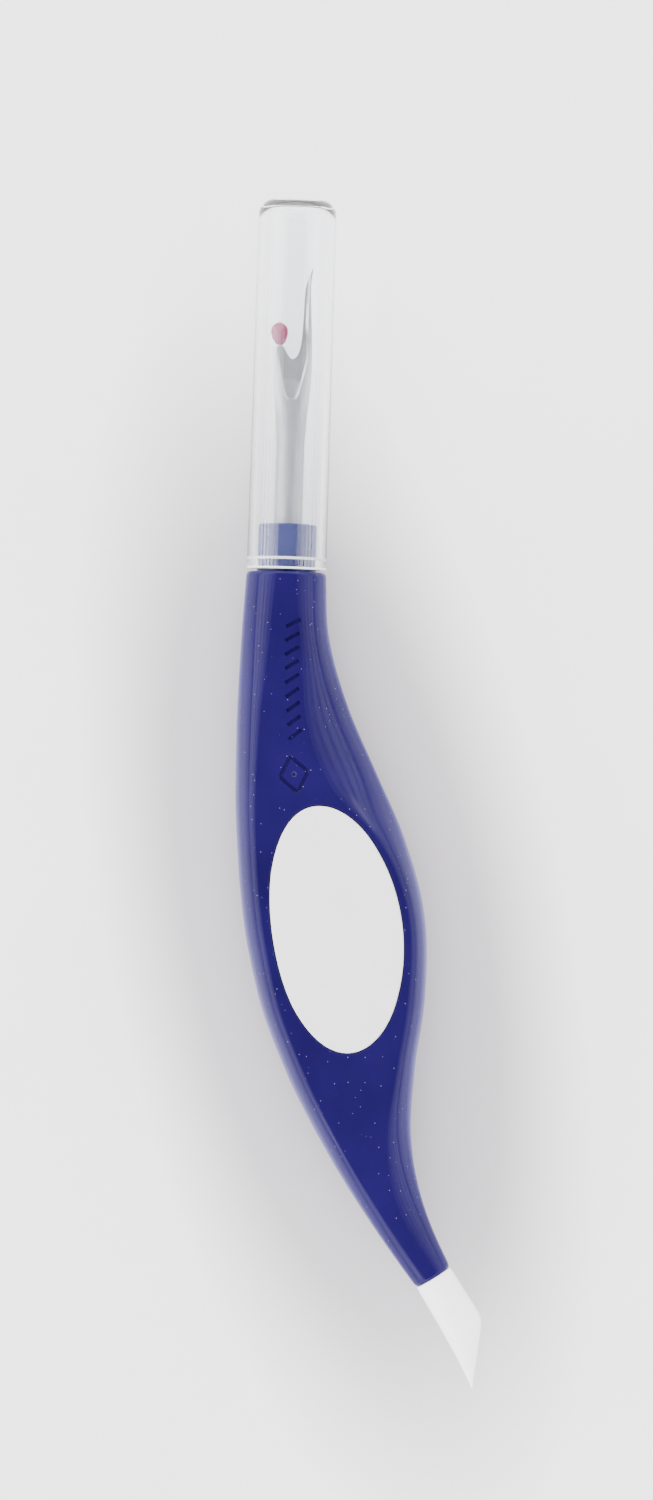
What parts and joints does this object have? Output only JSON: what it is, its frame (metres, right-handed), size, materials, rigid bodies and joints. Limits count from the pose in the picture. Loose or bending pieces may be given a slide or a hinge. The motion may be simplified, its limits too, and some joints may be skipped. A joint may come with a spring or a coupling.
{
  "type": "seam ripper",
  "caption": "Seam ripper with a curved shell handle, oval grip pads, forked steel blade with a safety ball, clear push-on cap and a plastic stiletto tip.",
  "frame": {"origin": "centre of the rear grip pad's flat outer face, on which the tool lies", "axes": "+Y along the blade from the handle towards the cap, +Z out of the front grip pad, +X to the right when the front is seen with the cap up"},
  "size_m": [0.0316, 0.1422, 0.0123],
  "materials": {
    "handle_navy": "glossy dark blue moulded plastic",
    "pad_white": "fine matt white plastic",
    "collar_blue": "glossy blue moulded plastic",
    "blade_steel": "plated and ground steel",
    "ball_pink": "glossy pink-red plastic",
    "tip_white": "satin white plastic",
    "cap_clear": "clear slightly milky plastic"
  },
  "bodies": {
    "handle": {"front_shell": "handle_navy", "rear_shell": "handle_navy", "front_grip_pad": "pad_white", "rear_grip_pad": "pad_white", "blade_holder": "collar_blue", "ripper_blade": "blade_steel", "safety_ball": "ball_pink", "stiletto_tip": "tip_white"},
    "cap": {"protective_cap": "cap_clear"}
  },
  "joints": [
    {"name": "cap_slide", "type": "slide", "parent": "handle", "child": "cap", "axis": [0, 1, 0], "range_m": [0, 0.05]}
  ]
}
